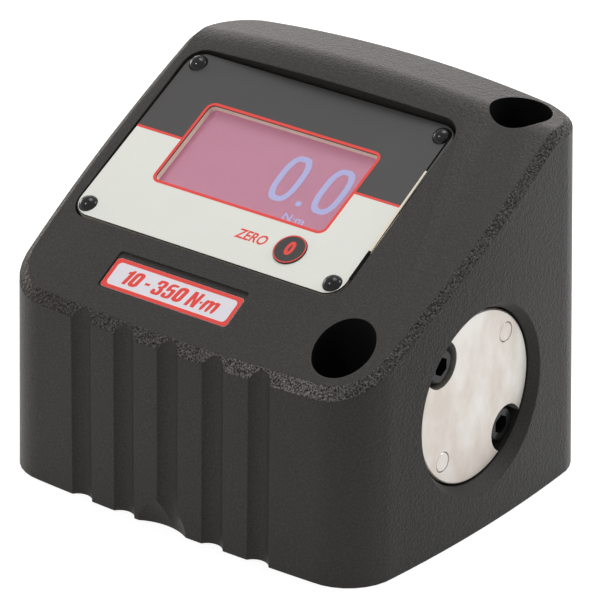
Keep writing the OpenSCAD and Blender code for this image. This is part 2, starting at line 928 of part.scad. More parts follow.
module transducer_screws() {
    head_x = flange_x - notch_depth;
    color("#2b2b2d")
        difference() {
            union() {
                on_pitch(head_x, screw_angle) {
                    cylinder(h = m6_head_h - head_break, r = m6_head_r);
                    translate([0, 0, m6_head_h - head_break])
                        cylinder(h = head_break, r1 = m6_head_r, r2 = m6_head_r - head_break);
                }
                on_pitch(head_x - m6_len + fit_gap, screw_angle)
                    cylinder(h = m6_len, r = m6_r - fit_gap);
            }
            on_pitch(head_x + m6_head_h - m6_hex_depth, screw_angle)
                linear_extrude(m6_hex_depth + over) hexagon(m6_hex);
        }
}

module dowel_pins() {
    color("#b9b6b0")
        on_pitch(flange_x - dowel_len + fit_gap, dowel_angle) {
            cylinder(h = dowel_len - fit_gap - edge_break, r = dowel_r - fit_gap);
            translate([0, 0, dowel_len - fit_gap - edge_break])
                cylinder(h = edge_break, r1 = dowel_r - fit_gap, r2 = dowel_r - edge_break);
        }
}

module drive_bush() {
    color("#b08d57")
        turned_piece([
            [drive_r + run_gap, bush_x],
            [bush_r - fit_gap, bush_x],
            [bush_r - fit_gap, bush_x + bush_len],
            [drive_r + run_gap, bush_x + bush_len]
        ]);
}

module drive_seal() {
    color("#1a1a1a")
        turned_piece([
            [drive_r + fit_gap, seal_x],
            [drive_r + fit_gap + seal_lip, seal_x],
            [drive_r + fit_gap + 2 * seal_lip, seal_x + seal_lip],
            [bush_r - fit_gap - seal_lip, seal_x + seal_lip],
            [bush_r - fit_gap - seal_lip, seal_x],
            [bush_r - fit_gap, seal_x],
            [bush_r - fit_gap, ring_x],
            [drive_r + fit_gap, ring_x]
        ]);
}

module retaining_ring() {
    outer = bush_r + ring_depth - fit_gap;
    color("#5b5e61")
        along_axis(ring_x)
            linear_extrude(ring_t)
                difference() {
                    union() {
                        difference() {
                            circle(outer);
                            circle(outer - ring_w);
                            translate([0, -ring_gap / 2]) square([outer + over, ring_gap]);
                        }
                        for (s = [-1, 1])
                            translate([outer - ring_w, s * (ring_gap / 2 + ring_lug_r / 2)])
                                circle(ring_lug_r);
                    }
                    for (s = [-1, 1])
                        translate([outer - ring_w, s * (ring_gap / 2 + ring_lug_r / 2)])
                            circle(ring_lug_hole_r);
                }
}

module strain_gauges() {
    color("#c98a2b")
        for (a = [0 : 90 : 270])
            translate([gauge_x + gauge_start, axis_y, axis_z])
                rotate([a, 0, 0])
                    translate([0, -gauge_w / 2, gauge_flats / 2]) cube([gauge_l, gauge_w, film_t]);
}

module gauge_terminal() {
    color("#c7a34a")
        translate([gauge_x + terminal_start, axis_y - terminal_w / 2,
                   axis_z - gauge_flats / 2 - terminal_t])
            cube([terminal_l, terminal_w, terminal_t]);
}

module gauge_cable() {
    low = pcb_top + connector_h;
    color("#777777")
        translate([cable_x, axis_y, low])
            cylinder(h = axis_z - gauge_flats / 2 - terminal_t - low, r = cable_r);
}

module main_board() {
    color("#2f6b45")
        translate([0, 0, pcb_bottom])
            linear_extrude(pcb_t)
                difference() {
                    translate([bay_x, bay_y])
                        square([bay_w - 2 * pcb_margin, bay_l - 2 * pcb_margin], center = true);
                    at_board_screws() circle(m3_r + fit_gap);
                }
}

// Box standing on the main board, by its middle
module on_board(x, y, size) {
    translate([x - size[0] / 2, y - size[1] / 2, pcb_top]) cube(size);
}

module main_board_parts() {
    ribbon_y = panel_point_y(ribbon_bend_v, ribbon_n);
    wires_y = lug_t / 2 - front_face(socket_x, socket_z) - socket_len;
    chips_x = bay_x + chip_w;
    color("#3b3b3b") {
        on_board(ribbon_x, ribbon_y, [ribbon_w + 2 * connector_wall, connector_l, connector_h]);
        on_board(cable_x, axis_y, [gauge_connector_w, gauge_connector_l, connector_h]);
        on_board(socket_x, wires_y, [power_connector_w, power_connector_l, connector_h]);
        on_board(chips_x, axis_y, [chip_w, chip_w, chip_t]);
        on_board(cable_x, axis_y + chip_w, [amp_w, amp_l, chip_t]);
        on_board(chips_x, ribbon_y, [crystal_w, crystal_l, crystal_h]);
        for (s = [-1, 1])
            translate([chips_x + s * (cap_r + cap_gap / 2), axis_y + 2 * chip_w - cap_r, pcb_top])
                cylinder(h = cap_h, r = cap_r);
    }
}

module board_spacers() {
    color("#c9a24e")
        translate([0, 0, cover_top])
            linear_extrude(spacer_h)
                at_board_screws()
                    difference() {
                        circle(board_spacer_r);
                        circle(m3_r);
                    }
}

module board_screws() {
    shank = pcb_top - cover_top + board_screw_bite - fit_gap;
    color("#8d8f92")
        translate([0, 0, pcb_top])
            at_board_screws()
                difference() {
                    union() {
                        cylinder(h = m3_head_h, r = m3_head_r);
                        translate([0, 0, -shank]) cylinder(h = shank, r = m3_r - fit_gap);
                    }
                    translate([0, 0, m3_head_h - m3_hex_depth])
                        linear_extrude(m3_hex_depth + over) hexagon(m3_hex);
                }
}

module ribbon_cable() {
    h = ribbon_t / 2;
    low = pcb_top + connector_h;
    bend_y = panel_point_y(ribbon_bend_v, ribbon_n);
    outline = [
        [panel_point_y(ribbon_end_v, ribbon_n + h), panel_point_z(ribbon_end_v, ribbon_n + h)],
        [bend_y - h, panel_height_at(bend_y - h, ribbon_n + h)],
        [bend_y - h, low],
        [bend_y + h, low],
        [bend_y + h, panel_height_at(bend_y + h, ribbon_n - h)],
        [panel_point_y(ribbon_end_v, ribbon_n - h), panel_point_z(ribbon_end_v, ribbon_n - h)]
    ];
    color("#9aa0a6")
        translate([ribbon_x - ribbon_w / 2, 0, 0])
            rotate([90, 0, 90]) linear_extrude(ribbon_w) polygon(outline);
}

module at_socket() {
    translate([socket_x, -front_face(socket_x, socket_z), socket_z]) rotate([90, 0, 0]) children();
}

module power_socket() {
    color("#222222")
        at_socket()
            difference() {
                union() {
                    cylinder(h = socket_flange_t, r = socket_flange_r);
                    cylinder(h = socket_len, r = socket_r - fit_gap);
                    translate([-lug_w / 2, -lug_drop, socket_len - lug_t])
                        cube([lug_w, lug_drop, lug_t]);
                }
                translate([0, 0, -over])
                    linear_extrude(over + socket_mouth_depth)
                        difference() {
                            circle(socket_mouth_r);
                            circle(socket_pin_r);
                        }
                translate([0, 0, -over]) cylinder(h = over + socket_pin_sink, r = socket_mouth_r);
            }
}

module power_nut() {
    color("#a9abad")
        at_socket()
            translate([0, 0, socket_wall])
                linear_extrude(nut_t)
                    difference() {
                        hexagon(nut_flats);
                        circle(socket_r);
                    }
}

module power_wires() {
    low = pcb_top + connector_h;
    wires_y = lug_t / 2 - front_face(socket_x, socket_z) - socket_len;
    color("#a02c2c")
        for (s = [-1, 1])
            translate([socket_x + s * wire_spread, wires_y, low])
                cylinder(h = socket_z - lug_drop - low, r = wire_r);
}

housing();
base_cover();
base_screws();
front_panel();
panel_overlay();
panel_gasket();
panel_screws();
display_window();
lcd_glass();
lcd_backlight();
display_board();
display_spacers();
display_screws();
zero_key();
switch_plunger();
zero_switch();
range_label();
transducer();
transducer_screws();
dowel_pins();
drive_bush();
drive_seal();
retaining_ring();
strain_gauges();
gauge_terminal();
gauge_cable();
main_board();
main_board_parts();
board_spacers();
board_screws();
ribbon_cable();
power_socket();
power_nut();
power_wires();
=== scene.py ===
import math
import bmesh
import bpy
import numpy as np
from mathutils import Matrix, Vector


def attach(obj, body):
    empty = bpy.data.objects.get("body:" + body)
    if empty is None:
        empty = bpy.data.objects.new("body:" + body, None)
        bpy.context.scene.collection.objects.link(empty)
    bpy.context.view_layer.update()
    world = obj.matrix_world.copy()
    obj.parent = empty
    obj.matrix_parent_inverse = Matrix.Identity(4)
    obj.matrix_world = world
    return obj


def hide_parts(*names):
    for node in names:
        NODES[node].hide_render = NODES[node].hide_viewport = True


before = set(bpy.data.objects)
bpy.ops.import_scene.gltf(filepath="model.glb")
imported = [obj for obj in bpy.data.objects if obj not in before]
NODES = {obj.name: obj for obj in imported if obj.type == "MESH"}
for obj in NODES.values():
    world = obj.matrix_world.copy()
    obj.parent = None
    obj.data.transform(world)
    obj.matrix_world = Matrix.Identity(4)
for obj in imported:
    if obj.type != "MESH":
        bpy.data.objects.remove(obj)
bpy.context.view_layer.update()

MM = 0.001
TINY = 1e-6

# Places, sizes and slopes that the CAD source gives, in millimetres and radians
HALF_W = 65.0
HALF_D = 54.5
FLANK_BOW = 1.8
FRONT_BOW = 1.3
FLARE = 0.6
CORNER_R = 15.5
LEAN = math.tan(math.radians(0.9))
SLOPE_Z = 88.7
SLOPE_TILT = math.radians(30.6)
SLOPE = math.tan(SLOPE_TILT)
CREST_Y = 35.0
CREST_LEN = 6.0
STRIP = math.tan(math.radians(2.9))
CROWN_FRONT = 0.6
CROWN_REAR = 3.9
CHAMFER_W = 2.5
CHAMFER_H = 1.9
PANEL_TILT = math.radians(28.3)
PANEL_PLACE = (-11.1, 0.3, 86.7)
PANEL_W = 94.0
PANEL_L = 64.0
PANEL_R = 5.5
WINDOW_V = 1.2
WINDOW_W = 59.6
WINDOW_L = 29.4
WINDOW_R = 1.8
KEY_U = 24.7
KEY_V = -22.2
KEY_R = 4.9
KEY_PROUD = 0.5
SCREW_U = 43.2
SCREW_V = 28.1
LABEL_X = -11.1
LABEL_V = -47.2
LABEL_W = 44.6
LABEL_L = 10.2
LABEL_TOP = -0.5
LABEL_T = 0.3
LCD_N = -3.0
BOLT_X = 48.0
BOLT_Y = 40.0
WELL_R = 8.75

PANEL = Matrix.Translation(Vector(PANEL_PLACE) * MM) @ Matrix.Rotation(PANEL_TILT, 4, "X")
SLOPE_FRAME = (
    Matrix.Translation(Vector((0, 0, SLOPE_Z)) * MM) @ Matrix.Rotation(SLOPE_TILT, 4, "X")
)


# Node helpers
class Tree:
    """Short ways to add and join nodes of one material."""

    def __init__(self, name):
        self.material = bpy.data.materials.new(name)
        self.material.use_nodes = True
        self.tree = self.material.node_tree
        self.shader = self.tree.nodes["Principled BSDF"]
        self.place = None

    def node(self, kind, **values):
        made = self.tree.nodes.new(kind)
        for key, value in values.items():
            setattr(made, key, value)
        return made

    def link(self, source, target):
        self.tree.links.new(source, target)

    def coords(self):
        if self.place is None:
            self.place = self.node("ShaderNodeTexCoord").outputs["Object"]
        return self.place

    def noise(self, size_mm, detail=3.0, rough=0.55, stretch=None):
        noise = self.node("ShaderNodeTexNoise")
        noise.inputs["Scale"].default_value = 1.0 / (size_mm * MM)
        noise.inputs["Detail"].default_value = detail
        noise.inputs["Roughness"].default_value = rough
        source = self.coords()
        if stretch:
            mapping = self.node("ShaderNodeMapping")
            mapping.inputs["Scale"].default_value = stretch
            self.link(source, mapping.inputs["Vector"])
            source = mapping.outputs["Vector"]
        self.link(source, noise.inputs["Vector"])
        return noise.outputs["Fac"]

    def cells(self, size_mm, feature):
        cells = self.node("ShaderNodeTexVoronoi", feature=feature)
        cells.inputs["Scale"].default_value = 1.0 / (size_mm * MM)
        self.link(self.coords(), cells.inputs["Vector"])
        return cells.outputs["Distance"]

    def ramp(self, source, low, high, out_low, out_high):
        ramp = self.node("ShaderNodeMapRange")
        ramp.inputs["From Min"].default_value = low
        ramp.inputs["From Max"].default_value = high
        ramp.inputs["To Min"].default_value = out_low
        ramp.inputs["To Max"].default_value = out_high
        self.link(source, ramp.inputs["Value"])
        return ramp.outputs["Result"]

    def mix(self, factor, a, b):
        mix = self.node("ShaderNodeMix", data_type="RGBA")
        mix.inputs["A"].default_value = (*a, 1)
        mix.inputs["B"].default_value = (*b, 1)
        self.link(factor, mix.inputs["Factor"])
        return mix.outputs["Result"]

    def math(self, operation, a, b):
        node = self.node("ShaderNodeMath", operation=operation)
        for socket, value in zip(node.inputs, (a, b)):
            if isinstance(value, (int, float)):
                socket.default_value = value
            else:
                self.link(value, socket)
        return node.outputs[0]

    def bump(self, height, depth_mm, normal=None):
        bump = self.node("ShaderNodeBump")
        bump.inputs["Distance"].default_value = depth_mm * MM
        bump.inputs["Strength"].default_value = 1.0
        self.link(height, bump.inputs["Height"])
        if normal is not None:
            self.link(normal, bump.inputs["Normal"])
        return bump.outputs["Normal"]

    def soft_edges(self, radius_mm):
        bevel = self.node("ShaderNodeBevel", samples=6)
        bevel.inputs["Radius"].default_value = radius_mm * MM
        return bevel.outputs["Normal"]

    def set(self, **values):
        for key, value in values.items():
            socket = self.shader.inputs[key.replace("_", " ")]
            if isinstance(value, (int, float)):
                socket.default_value = value
            elif isinstance(value, tuple):
                socket.default_value = (*value, 1)
            else:
                self.link(value, socket)


def plain(name, dark, light, rough, grain_mm=0.4, depth_mm=0.01, **more):
    """A surface of two near tones with a fine grain."""
    t = Tree(name)
    grain = t.noise(grain_mm)
    blotch = t.noise(9.0, detail=2.0)
    tone = t.mix(t.math("MULTIPLY", grain, t.ramp(blotch, 0.3, 0.7, 0.75, 1.25)), dark, light)
    t.set(
        Base_Color=tone,
        Roughness=t.ramp(grain, 0.3, 0.7, rough - 0.05, rough + 0.05),
        Metallic=0.0,
        Normal=t.bump(grain, depth_mm),
        **more,
    )
    return t.material


COAT_TINT = (1.0, 0.97, 0.94)


def casting_paint():
    """Black textured powder coat, with a deeper grain where the corner attribute is high, and
    painted shade that darkens its tone there, most on the flanks and the strip.
    """
    t = Tree("black_powder_coat")
    coarse_and_shade = t.node("ShaderNodeAttribute", attribute_name="coarse_and_shade").outputs["Fac"]
    fine = t.noise(0.5, detail=3.0, rough=0.6)
    worms = t.cells(0.85, "SMOOTH_F1")
    pits = t.noise(2.4, detail=2.0, rough=0.5)
    relief = t.math("ADD", fine, t.math("MULTIPLY", worms, t.ramp(coarse_and_shade, 0.0, 1.0, 0.2, 1.3)))
    height = t.math(
        "MULTIPLY",
        t.math("ADD", relief, t.math("MULTIPLY", pits, 0.6)),
        t.ramp(coarse_and_shade, 0.0, 1.0, 0.1, 1.0),
    )
    grain = t.ramp(fine, 0.42, 0.72, 0.0, 1.0)
    # Painted shade: the tone grows up to 15 % darker where the grain is deepest, most on the
    # flanks and on the strip
    shade = t.math("MULTIPLY", grain, t.ramp(coarse_and_shade, 0.0, 1.0, 1.0, 0.85))
    t.set(
        Base_Color=t.mix(shade, (0.0125, 0.0115, 0.0107), (0.0365, 0.0338, 0.0322)),
        Roughness=t.ramp(coarse_and_shade, 0.0, 1.0, 0.56, 0.3),
        Normal=t.bump(height, 0.36, t.soft_edges(0.5)),
        Specular_IOR_Level=t.ramp(coarse_and_shade, 0.5, 0.57, 0.29, 0.2),
        Specular_Tint=COAT_TINT,
    )
    return t.material


def band_paint():
    """The rough coat on the edge band: black, with painted glints on its grains and painted light
    along x that is brightest at x = 45 to 48 mm.
    """
    t = Tree("coarse_powder_coat")
    grains = t.noise(0.5, detail=3.0, rough=0.7)
    worms = t.cells(0.9, "SMOOTH_F1")
    height = t.math("ADD", grains, t.math("MULTIPLY", worms, 1.2))
    along = t.node("ShaderNodeSeparateXYZ")
    t.link(t.coords(), along.inputs[0])
    # Painted light: the grains lighten from x = -55 mm to 45 mm and dim again past 48 mm
    painted_light_along_x = t.math(
        "MULTIPLY",
        t.math("POWER", t.ramp(along.outputs["X"], -0.055, 0.045, 0.0, 1.35), 1.5),
        t.ramp(along.outputs["X"], 0.048, 0.062, 1.0, 0.35),
    )
    # Painted glints: the tops of the grains take that painted light
    painted_glints = t.math("MULTIPLY", t.ramp(grains, 0.42, 0.72, 0.0, 1.0), painted_light_along_x)
    t.set(
        Base_Color=t.mix(painted_glints, (0.007, 0.0065, 0.0062), (0.21, 0.196, 0.187)),
        Roughness=t.ramp(grains, 0.35, 0.65, 0.55, 0.32),
        Normal=t.bump(height, 0.6, t.soft_edges(0.5)),
        Specular_IOR_Level=t.ramp(grains, 0.4, 0.62, 0.1, 0.34),
        Specular_Tint=COAT_TINT,
    )
    return t.material


def turned_metal(name, dark, light, rough):
    """Turned metal with fine lines along X."""
    t = Tree(name)
    lines = t.noise(0.35, detail=5.0, rough=0.7, stretch=(1, 14, 14))
    blotch = t.noise(7.0, detail=4.0)
    t.set(
        Base_Color=t.mix(t.ramp(blotch, 0.35, 0.65, 0.0, 1.0), dark, light),
        Metallic=1.0,
        Roughness=t.ramp(lines, 0.3, 0.7, rough - 0.06, rough + 0.08),
        Normal=t.bump(lines, 0.012, t.soft_edges(0.15)),
    )
    return t.material


def ground_steel():
    """The fixed flange: a ground face with fine cross scratches."""
    t = Tree("ground_steel")
    one = t.noise(0.3, detail=6.0, rough=0.75, stretch=(1.0, 0.08, 1.0))
    two = t.noise(0.45, detail=6.0, rough=0.75, stretch=(1.0, 1.0, 0.12))
    lines = t.math("ADD", one, two)
    blotch = t.noise(11.0, detail=4.0, rough=0.55, stretch=(1.0, 1.0, 0.6))
    t.set(
        Base_Color=t.mix(
            t.ramp(blotch, 0.36, 0.62, 0.0, 1.0), (0.58, 0.527, 0.477), (0.685, 0.665, 0.63)
        ),
        Metallic=0.85,
        Roughness=t.ramp(lines, 0.7, 1.3, 0.34, 0.52),
        Normal=t.bump(lines, 0.01, t.soft_edges(0.2)),
    )
    return t.material


def clear_lens():
    """Clear sheet whose outer face alone mirrors."""
    t = Tree("clear_lens")
    clear = t.node("ShaderNodeBsdfTransparent")
    clear.inputs["Color"].default_value = (0.97, 0.965, 0.97, 1)
    gloss = t.node("ShaderNodeBsdfGlossy")
    gloss.inputs["Roughness"].default_value = 0.08
    fresnel = t.node("ShaderNodeFresnel")
    fresnel.inputs["IOR"].default_value = 1.35
    inner_face = t.node("ShaderNodeNewGeometry").outputs["Backfacing"]
    share = t.math("MULTIPLY", fresnel.outputs[0], t.math("SUBTRACT", 1.0, inner_face))
    mix = t.node("ShaderNodeMixShader")
    t.link(share, mix.inputs[0])
    t.link(clear.outputs[0], mix.inputs[1])
    t.link(gloss.outputs[0], mix.inputs[2])
    t.link(mix.outputs[0], t.tree.nodes["Material Output"].inputs["Surface"])
    return t.material


def circuit_board():
    """Dark green mask with lighter lines over the tracks."""
    t = Tree("solder_mask")
    tracks = t.cells(2.2, "DISTANCE_TO_EDGE")
    beside_track = t.ramp(tracks, 0.03, 0.06, 0.0, 1.0)
    t.set(
        Base_Color=t.mix(beside_track, (0.06, 0.22, 0.10), (0.02, 0.11, 0.05)),
        Roughness=0.38,
        Normal=t.bump(beside_track, 0.02),
    )
    return t.material


PAINT = casting_paint()
BAND = band_paint()
# Painted shade: near-black paint on the insides of the bolt wells, where shade falls
WELL_SHADE = plain(
    "painted_well_shade", (0.002, 0.002, 0.002), (0.004, 0.004, 0.004), 0.8, Specular_IOR_Level=0.06
)
RED = plain("red_print", (0.70, 0.043, 0.032), (0.76, 0.056, 0.043), 0.45)
WHITE = plain("white_print", (0.71, 0.72, 0.665), (0.77, 0.775, 0.72), 0.42, depth_mm=0.004)
GREY = plain("grey_print", (0.030, 0.028, 0.028), (0.04, 0.038, 0.038), 0.55, depth_mm=0.004)
LABEL_WHITE = plain("label_print", (0.70, 0.68, 0.73), (0.80, 0.78, 0.83), 0.35, depth_mm=0.004)
BOARD = plain("board_edge", (0.70, 0.63, 0.50), (0.82, 0.75, 0.62), 0.62, grain_mm=0.15)
KEY_GREY = plain("key_face", (0.014, 0.014, 0.013), (0.022, 0.021, 0.02), 0.4, depth_mm=0.004)
PINK = plain(
    "display_face", (0.53, 0.255, 0.35), (0.57, 0.285, 0.385), 0.28, depth_mm=0.0,
    Emission_Color=(0.56, 0.24, 0.33), Emission_Strength=0.46,
)
SEGMENT = plain(
    "segment_light", (0.31, 0.33, 0.56), (0.36, 0.37, 0.61), 0.4, grain_mm=0.3, depth_mm=0.0,
    Emission_Color=(0.35, 0.36, 0.6), Emission_Strength=0.27,
)
BLACK_SCREW = plain(
    "black_screw", (0.005, 0.005, 0.005), (0.010, 0.010, 0.010), 0.17, depth_mm=0.0015,
    Specular_IOR_Level=0.24,
)
RUBBER = plain("black_rubber", (0.012, 0.012, 0.012), (0.022, 0.022, 0.022), 0.7)
# Painted shade: near-black strips laid over the shaded gap along the panel's edge
GAP_SHADE = plain(
    "painted_gap_shade", (0.003, 0.003, 0.003), (0.006, 0.006, 0.006), 0.85, Specular_IOR_Level=0.06
)
BLACK = plain("black_moulding", (0.018, 0.018, 0.019), (0.03, 0.03, 0.031), 0.48)
STEEL = turned_metal("turned_steel", (0.50, 0.48, 0.45), (0.66, 0.64, 0.61), 0.34)
GROUND = ground_steel()
COVER = plain(
    "cover_paint", (0.07, 0.07, 0.073), (0.11, 0.11, 0.115), 0.5, grain_mm=0.7, depth_mm=0.04
)
BRONZE = turned_metal("bush_bronze", (0.48, 0.30, 0.13), (0.62, 0.42, 0.2), 0.3)
LENS = clear_lens()
CIRCUIT = circuit_board()
DIFFUSER = plain("diffuser", (0.72, 0.73, 0.75), (0.8, 0.81, 0.82), 0.5)
FOIL = plain("gauge_foil", (0.44, 0.22, 0.05), (0.62, 0.36, 0.1), 0.35)
GREY_CABLE = plain("grey_cable", (0.2, 0.2, 0.21), (0.3, 0.3, 0.31), 0.55)
RED_WIRE = plain("red_wire", (0.4, 0.03, 0.03), (0.5, 0.05, 0.04), 0.5)

LOOKS = {
    "base_cover": COVER,
    "base_screws": BLACK_SCREW,
    "front_panel": BOARD,
    "panel_gasket": RUBBER,
    "panel_screws": BLACK_SCREW,
    "display_window": LENS,
    "lcd_glass": PINK,
    "lcd_backlight": DIFFUSER,
    "display_board": CIRCUIT,
    "display_spacers": STEEL,
    "display_screws": STEEL,
    "panel_overlay": GREY,
    "zero_key": KEY_GREY,
    "switch_plunger": BLACK,
    "zero_switch": BLACK,
    "range_label": LABEL_WHITE,
    "transducer": GROUND,
    "transducer_screws": BLACK_SCREW,
    "dowel_pins": GROUND,
    "drive_bush": BRONZE,
    "drive_seal": RUBBER,
    "retaining_ring": STEEL,
    "strain_gauges": FOIL,
    "gauge_terminal": FOIL,
    "gauge_cable": GREY_CABLE,
    "main_board": CIRCUIT,
    "main_board_parts": BLACK,
    "board_spacers": BRONZE,
    "board_screws": STEEL,
    "ribbon_cable": GREY_CABLE,
    "power_socket": BLACK,
    "power_nut": STEEL,
    "power_wires": RED_WIRE,
}
SMOOTH_ANGLE = math.radians(24)
for name, look in LOOKS.items():
    mesh = NODES[name].data
    mesh.materials.clear()
    mesh.materials.append(look)
    mesh.shade_smooth()
    mesh.set_sharp_from_angle(angle=SMOOTH_ANGLE)


# Outer form of the casting, as the CAD source states it
def crown(y):
    """How far the top falls from its middle to the edge of the flank."""
    share = (y + HALF_D) / (CREST_Y + HALF_D)
    return np.minimum(CROWN_FRONT + (CROWN_REAR - CROWN_FRONT) * share, CROWN_REAR)


def top_z(x, y):
    """Height of the sloping top, the crest and the strip behind it."""
    u = y - CREST_Y
    e = CREST_LEN / 2
    crest = SLOPE_Z + SLOPE * CREST_Y
    bend = crest + SLOPE * u - (SLOPE + STRIP) * (u + e) ** 2 / (4 * e)
    ridge = np.where(u < -e, crest + SLOPE * u, np.where(u > e, crest - STRIP * u, bend))
    return ridge - crown(y) * (x / HALF_W) ** 2


def top_slope(x, y):
    """Rise of the top along x and along y."""
    step = 0.05
    dx = (top_z(x + step, y) - top_z(x - step, y)) / (2 * step)
    dy = (top_z(x, y + step) - top_z(x, y - step)) / (2 * step)
    return dx, dy


def foot_outline():
    """Dense outline of the walls at the foot, with its outward normals."""
    hx, hy, r = HALF_W, HALF_D, CORNER_R
    steps = 400
    t = np.linspace(-1, 1, steps)
    front = np.stack([t * (hx - r), -hy - FRONT_BOW * (1 - t**2)], 1)
    a = np.radians(np.linspace(-90, 0, steps // 2))
    corner = np.stack([hx - r + r * np.cos(a), r - hy + r * np.sin(a)], 1)
    flank = np.stack([hx + FLANK_BOW * (1 - t**2), t * (hy - r)], 1)
    rear_corner = corner[::-1] * [1, -1]
    half = np.concatenate([front, corner, flank, rear_corner])
    p = np.concatenate([half, -half])
    grow = np.minimum(np.abs(p[:, 0]) / r, 1) * FLARE * p[:, 1] / hy
    p[:, 0] += np.sign(p[:, 0]) * grow
    d = np.roll(p, -2, 0) - np.roll(p, 2, 0)
    n = np.stack([d[:, 1], -d[:, 0]], 1)
    length = np.linalg.norm(n, axis=1, keepdims=True)
    good = length[:, 0] > TINY
    return p[good], n[good] / length[good]


FOOT_OUTLINE = foot_outline()


def wall_at(points):
    """Distance outside the drafted wall and the wall's normal, at each point."""
    p, n = FOOT_OUTLINE
    flat = points[:, :2].copy()
    flat += np.sign(flat) * (LEAN * points[:, 2:3])
    distance = np.empty(len(flat))
    normal = np.empty((len(flat), 3))
    for i, q in enumerate(flat):
        d = p - q
        k = int(np.argmin((d**2).sum(1)))
        distance[i] = -(d[k] @ n[k])
        normal[i] = (n[k][0], n[k][1], LEAN)
    return distance, normal / np.linalg.norm(normal, axis=1, keepdims=True)


# Which faces lie on the drawn form, how deep the grain is on each part of it, and how much painted
# shade darkens the coat there
SHELL_DISTANCE = 0.25
SHELL_FACING = 0.985
FOOT_EDGE = 0.5
BAND_SLACK = 0.6
BAND_LOWEST = 50
COARSE_BAND = 1.0
STRIP_GRAIN_AND_SHADE = 0.5
COARSE_SLOPE = 0.08
COARSE_REST = 0.15
FLANK_GRAIN_AND_SHADE = 0.42
WELL_MARGIN = 0.1
WELL_SHADE_LOOK = 1
BAND_LOOK = 2


def dress_casting():
    """A copy of the casting whose outside is shaded by the form it was drawn from.

    Its corner attribute says how deep the grain of the coat is at each face corner, and how much
    painted shade darkens the coat there.
    """
    source = NODES["housing"]
    mesh = source.data.copy()
    mesh.materials.clear()
    mesh.materials.append(PAINT)
    mesh.shade_smooth()
    mesh.set_sharp_from_angle(angle=SMOOTH_ANGLE)
    shell = bpy.data.objects.new("casting_shell", mesh)
    bpy.context.scene.collection.objects.link(shell)

    co = np.empty(len(mesh.vertices) * 3)
    mesh.vertices.foreach_get("co", co)
    co = co.reshape(-1, 3) / MM
    wall_distance, wall_normal = wall_at(co)
    dx, dy = top_slope(co[:, 0], co[:, 1])
    top_normal = np.stack([-dx, -dy, np.ones(len(co))], 1)
    band_normal = top_normal * CHAMFER_W + wall_normal * CHAMFER_H
    top_normal /= np.linalg.norm(top_normal, axis=1, keepdims=True)
    band_normal /= np.linalg.norm(band_normal, axis=1, keepdims=True)
    top_distance = np.abs(co[:, 2] - top_z(co[:, 0], co[:, 1]))

    normals = np.empty(len(mesh.loops) * 3)
    mesh.corner_normals.foreach_get("vector", normals)
    normals = normals.reshape(-1, 3)
    coarse_and_shade = np.full(len(mesh.loops), COARSE_REST)
    for face in mesh.polygons:
        loops = list(face.loop_indices)
        verts = [mesh.loops[i].vertex_index for i in loops]
        facing = np.array(face.normal)
        centre = co[verts].mean(0)
        kinds = {
            "wall": (wall_normal, np.abs(wall_distance[verts]).max() < SHELL_DISTANCE),
            "top": (top_normal, top_distance[verts].max() < SHELL_DISTANCE),
            "band": (band_normal, wall_distance[verts].min() > -CHAMFER_W - BAND_SLACK),
        }
        near = [
            (float((normal[verts] @ facing).min()), kind)
            for kind, (normal, close) in kinds.items()
            if close
        ]
        best, kind = max(near, default=(0, None))
        if best < SHELL_FACING or centre[2] < FOOT_EDGE:
            continue
        if kind == "band" and centre[2] < BAND_LOWEST:
            continue
        normals[loops] = kinds[kind][0][verts]
        if kind == "band":
            coarse_and_shade[loops] = COARSE_BAND
        elif kind == "wall":
            coarse_and_shade[loops] = COARSE_REST + FLANK_GRAIN_AND_SHADE * np.abs(wall_normal[verts, 0]) ** 2
        else:
            on_strip = co[verts, 1] > CREST_Y - CREST_LEN / 2
            coarse_and_shade[loops] = np.where(on_strip, STRIP_GRAIN_AND_SHADE, COARSE_SLOPE)
    mesh.normals_split_custom_set([tuple(n) for n in normals])
    layer = mesh.attributes.new("coarse_and_shade", "FLOAT", "CORNER")
    layer.data.foreach_set("value", coarse_and_shade)
    # Faces inside the bolt wells take the painted shade
    well_shade_mask = np.hypot(co[:, 0] - BOLT_X, np.abs(co[:, 1]) - BOLT_Y) < WELL_R + WELL_MARGIN
    mesh.materials.append(WELL_SHADE)
    mesh.materials.append(BAND)
    for face in mesh.polygons:
        if well_shade_mask[list(face.vertices)].all():
            face.material_index = WELL_SHADE_LOOK
        elif coarse_and_shade[face.loop_start] == COARSE_BAND:
            face.material_index = BAND_LOOK
    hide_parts("housing")
    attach(shell, "casing")


dress_casting()


# Thin printed pieces
def new_piece(name, mesh, look, body):
    """A piece made here, with its look and the body it moves with."""
    mesh.materials.clear()
    mesh.materials.append(look)
    made = bpy.data.objects.new(name, mesh)
    bpy.context.scene.collection.objects.link(made)
    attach(made, body)
    return made


def rounded(width, length, r, centre=(0, 0)):
    """Outline of a rectangle with round corners."""
    steps = 10
    points = []
    for sx, sy, start in ((1, 1, 0), (-1, 1, 90), (-1, -1, 180), (1, -1, 270)):
        for i in range(steps + 1):
            a = math.radians(start + 90 * i / steps)
            points.append(
                (
                    centre[0] + sx * (width / 2 - r) + r * math.cos(a),
                    centre[1] + sy * (length / 2 - r) + r * math.sin(a),
                )
            )
    return points


def circle(r, centre, steps=64):
    turns = [2 * math.pi * i / steps for i in range(steps)]
    return [(centre[0] + r * math.cos(a), centre[1] + r * math.sin(a)) for a in turns]


def clipped(points, keep):
    """Part of an outline where keep(point) is 0 or more, cut along straight edges."""
    out = []
    for i, a in enumerate(points):
        b = points[(i + 1) % len(points)]
        ka, kb = keep(a), keep(b)
        if ka >= 0:
            out.append(a)
        if (ka >= 0) != (kb >= 0):
            t = ka / (ka - kb)
            out.append((a[0] + t * (b[0] - a[0]), a[1] + t * (b[1] - a[1])))
    return out


